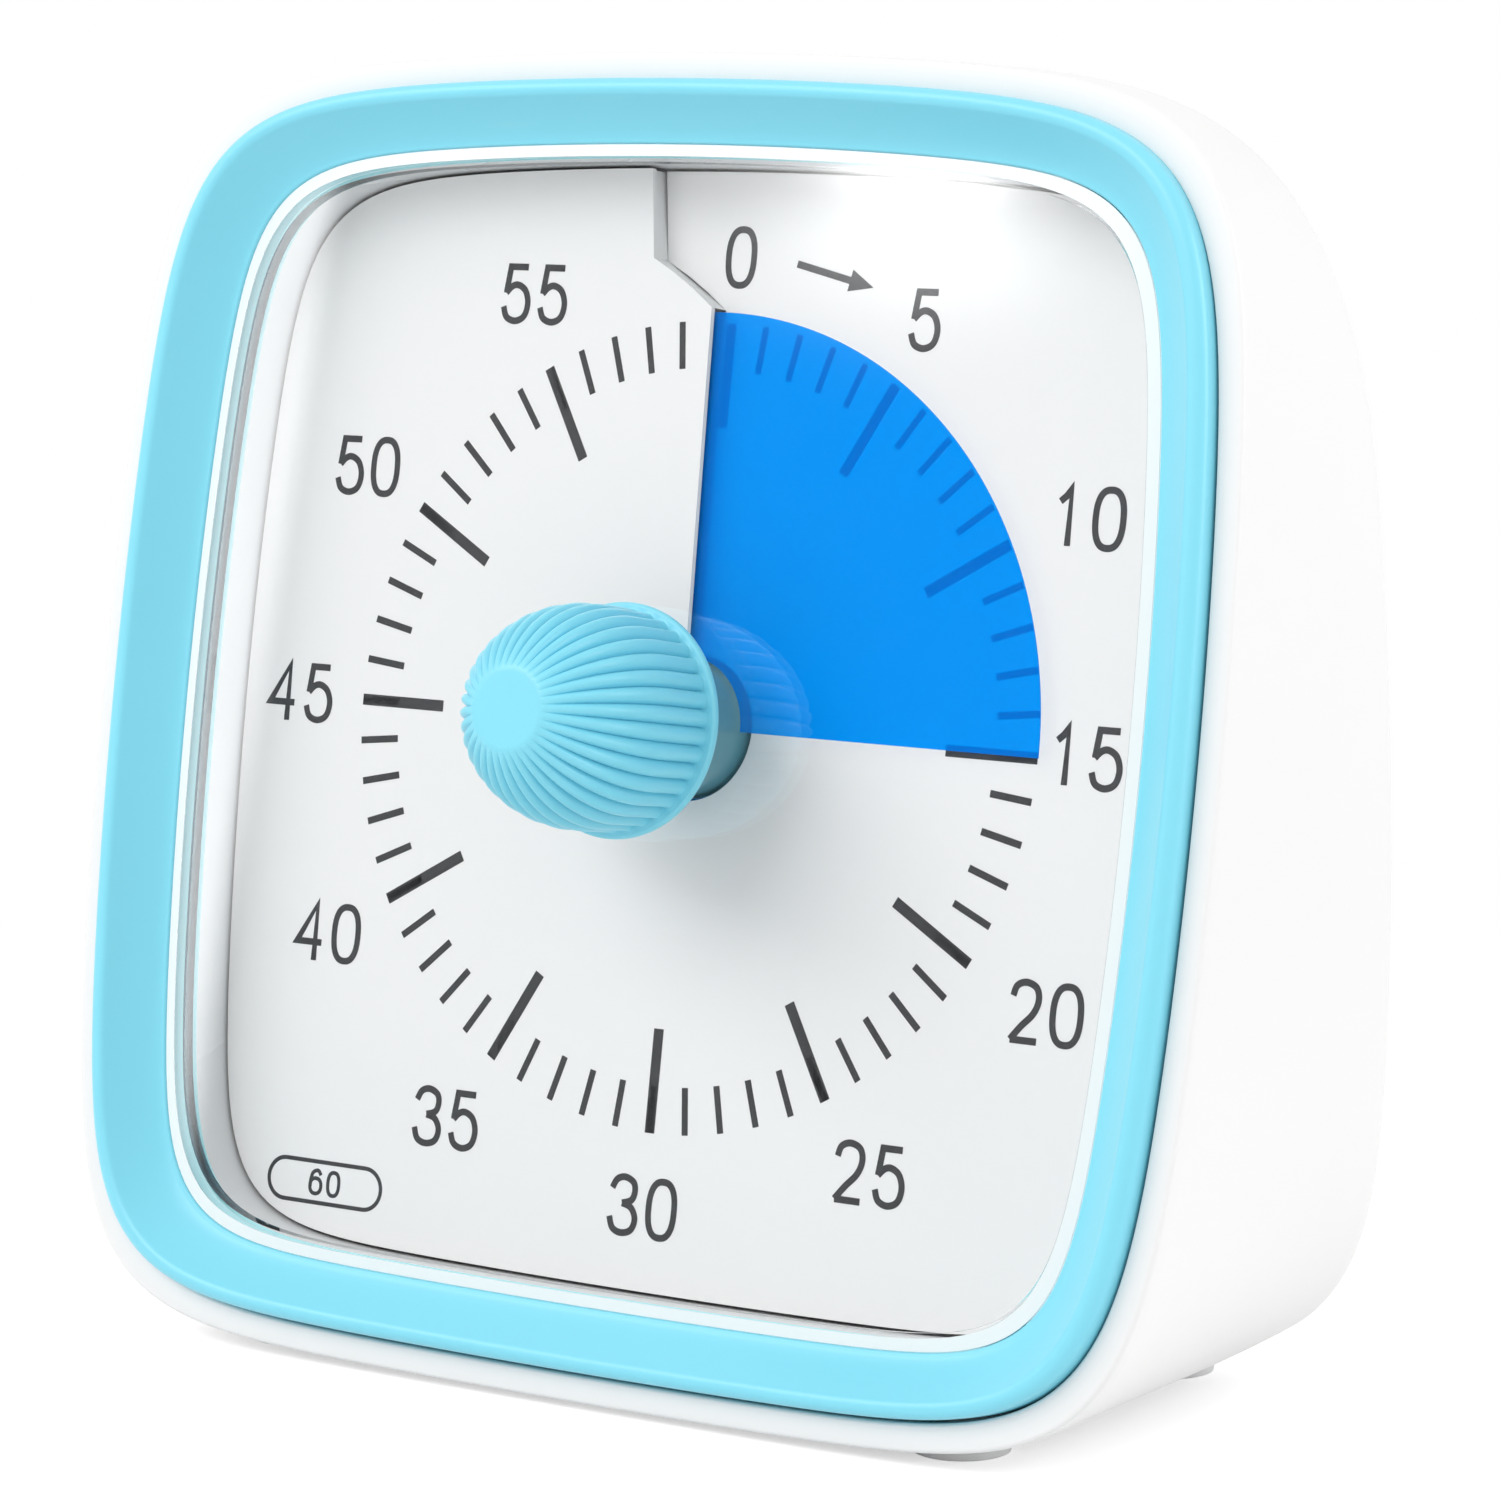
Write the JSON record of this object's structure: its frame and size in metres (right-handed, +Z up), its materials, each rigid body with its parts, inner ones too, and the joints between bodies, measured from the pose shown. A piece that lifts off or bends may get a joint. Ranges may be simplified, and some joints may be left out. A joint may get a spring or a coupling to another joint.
{
  "type": "visual countdown timer",
  "caption": "Leaning countdown timer with a white moulded housing, pale blue bezel and ribbed knob, clear window, and a blue film that winds out of a spiral dial.",
  "frame": {"origin": "on the table, under the middle of the whole timer with its knob", "axes": "+X to the right as seen by the user, +Y to the back, +Z up; the dial faces -Y and leans back 9.4 degrees"},
  "size_m": [0.1392, 0.0678, 0.1364],
  "materials": {
    "white_abs": "satin moulded ABS, warm white, fine spark texture",
    "blue_abs": "satin moulded ABS, pale sky blue",
    "clear_lens": "clear moulded polystyrene window, polished",
    "frame_abs": "pale grey moulded ABS",
    "dial_print": "white plastic sheet printed with dark grey marks and plain numbers",
    "blue_film": "translucent blue polyester film",
    "stem_plastic": "grey-blue moulded acetal",
    "steel": "turned steel",
    "gear_plastic": "natural acetal",
    "brass": "stamped phosphor bronze",
    "motor_can": "drawn zinc plated can",
    "movement_abs": "black moulded ABS",
    "screw_steel": "zinc plated self-tapping screws",
    "board_green": "fibreglass board with green solder resist",
    "component_black": "black epoxy and capacitor sleeves",
    "speaker_black": "black speaker frame and cone",
    "slider_black": "black moulded slider",
    "cell_jacket": "plain dark grey cell jacket with bare steel ends",
    "nickel": "nickel plated spring steel",
    "foot_rubber": "grey rubber discs",
    "lead_sleeve": "soft PVC sleeve of thin leads"
  },
  "bodies": {
    "housing": {"rear_housing": "white_abs", "front_bezel": "blue_abs", "lens": "clear_lens", "dial_frame": "frame_abs", "dial_plate": "dial_print", "idler_pin": "steel", "gear_motor": "motor_can", "movement_case": "movement_abs", "movement_cover": "movement_abs", "movement_screws": "screw_steel", "circuit_board": "board_green", "board_parts": "component_black", "board_screws": "screw_steel", "speaker": "speaker_black", "switch_body": "steel", "battery_cell": "cell_jacket", "battery_spring": "nickel", "battery_contact": "nickel", "battery_leads": "lead_sleeve", "speaker_leads": "lead_sleeve", "housing_screws": "screw_steel", "rubber_feet": "foot_rubber"},
    "dial_drive": {"knob": "blue_abs", "knob_stem": "stem_plastic", "arbor": "steel", "centre_wheel": "gear_plastic", "clutch_spring": "brass", "clutch_collar": "steel"},
    "film": {"time_film": "blue_film"},
    "idler": {"idler_wheel": "gear_plastic"},
    "motor_pinion": {"drive_pinion": "gear_plastic"},
    "slider": {"volume_slider": "slider_black"},
    "door": {"battery_door": "white_abs"}
  },
  "joints": [
    {"name": "knob_turn", "type": "hinge", "parent": "housing", "child": "dial_drive", "pos_m": [0, -0.00048, 0.06699], "axis": [0, 0.9866, -0.1633], "range_deg": [-90, 270]},
    {"name": "film_rise", "type": "slide", "parent": "dial_drive", "child": "film", "axis": [0, -0.9866, 0.1633], "range_m": [-0.0007, 0.002], "stiffness_N_per_m": 0.004, "springref_m": 0.507},
    {"name": "idler_spin", "type": "hinge", "parent": "housing", "child": "idler", "pos_m": [-0.0141, -0.00132, 0.06192], "axis": [0, 0.9866, -0.1633], "range_deg": [-1360, 460]},
    {"name": "motor_spin", "type": "hinge", "parent": "housing", "child": "motor_pinion", "pos_m": [-0.01837, -0.00324, 0.05034], "axis": [0, 0.9866, -0.1633], "range_deg": [-1810, 5410]},
    {"name": "volume_slide", "type": "slide", "parent": "housing", "child": "slider", "axis": [1, 0, 0], "range_m": [-0.0025, 0.0025]},
    {"name": "door_slide", "type": "slide", "parent": "housing", "child": "door", "axis": [0, 0.0802, -0.9968], "range_m": [0, 0.006]}
  ],
  "couplings": [
    {"joint": "film_rise", "follows": "knob_turn", "m_per_rad": 0.0004138},
    {"joint": "idler_spin", "follows": "knob_turn", "ratio": -5},
    {"joint": "motor_spin", "follows": "knob_turn", "ratio": 20}
  ]
}
